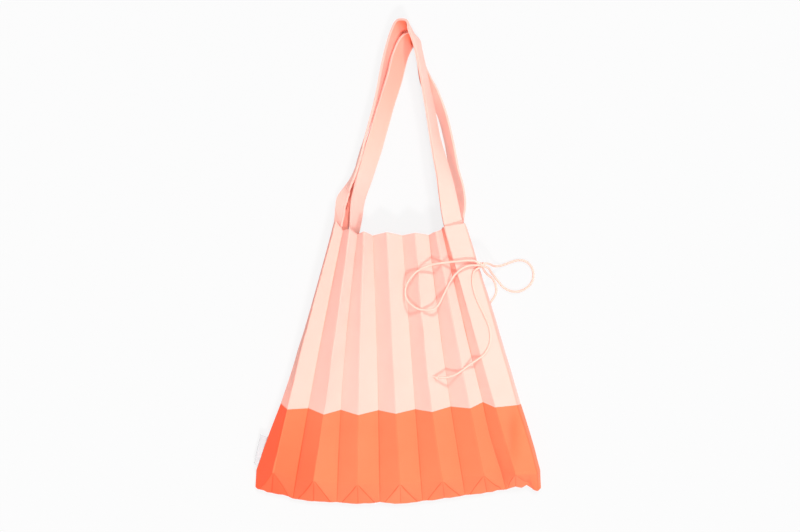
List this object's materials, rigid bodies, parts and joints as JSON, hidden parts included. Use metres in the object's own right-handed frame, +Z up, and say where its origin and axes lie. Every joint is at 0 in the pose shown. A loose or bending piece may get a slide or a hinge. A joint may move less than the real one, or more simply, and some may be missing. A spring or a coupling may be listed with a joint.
{
  "type": "pleated knit bag",
  "caption": "Soft pleated knit shoulder bag lying on its back, pale above an orange base, with flat knit straps, a blank side tag and a thin side cord tied in a bow.",
  "frame": {"origin": "on the surface the bag lies on, under the middle of the bag and its straps", "axes": "+X to the bag's right seen from its front, +Y from the hem to the straps, +Z up out of its front"},
  "size_m": [0.3508, 0.5886, 0.0459],
  "materials": {
    "pale_knit": "matt fine knit",
    "orange_knit": "matt fine knit",
    "strap_knit": "matt double knit",
    "label_weave": "satin woven tape",
    "tie_cord": "matt knitted cord"
  },
  "bodies": {
    "root": {"front_upper": "pale_knit", "front_base": "orange_knit", "back_upper": "pale_knit", "back_base": "orange_knit", "strap_outer": "strap_knit", "strap_inner": "strap_knit", "side_label": "label_weave", "tie_knot": "tie_cord", "tie_loop_left": "tie_cord", "tie_loop_right": "tie_cord", "tie_tail_long": "tie_cord", "tie_tail_short": "tie_cord", "tie_end_knot_long": "tie_cord", "tie_end_knot_short": "tie_cord"}
  },
  "joints": []
}
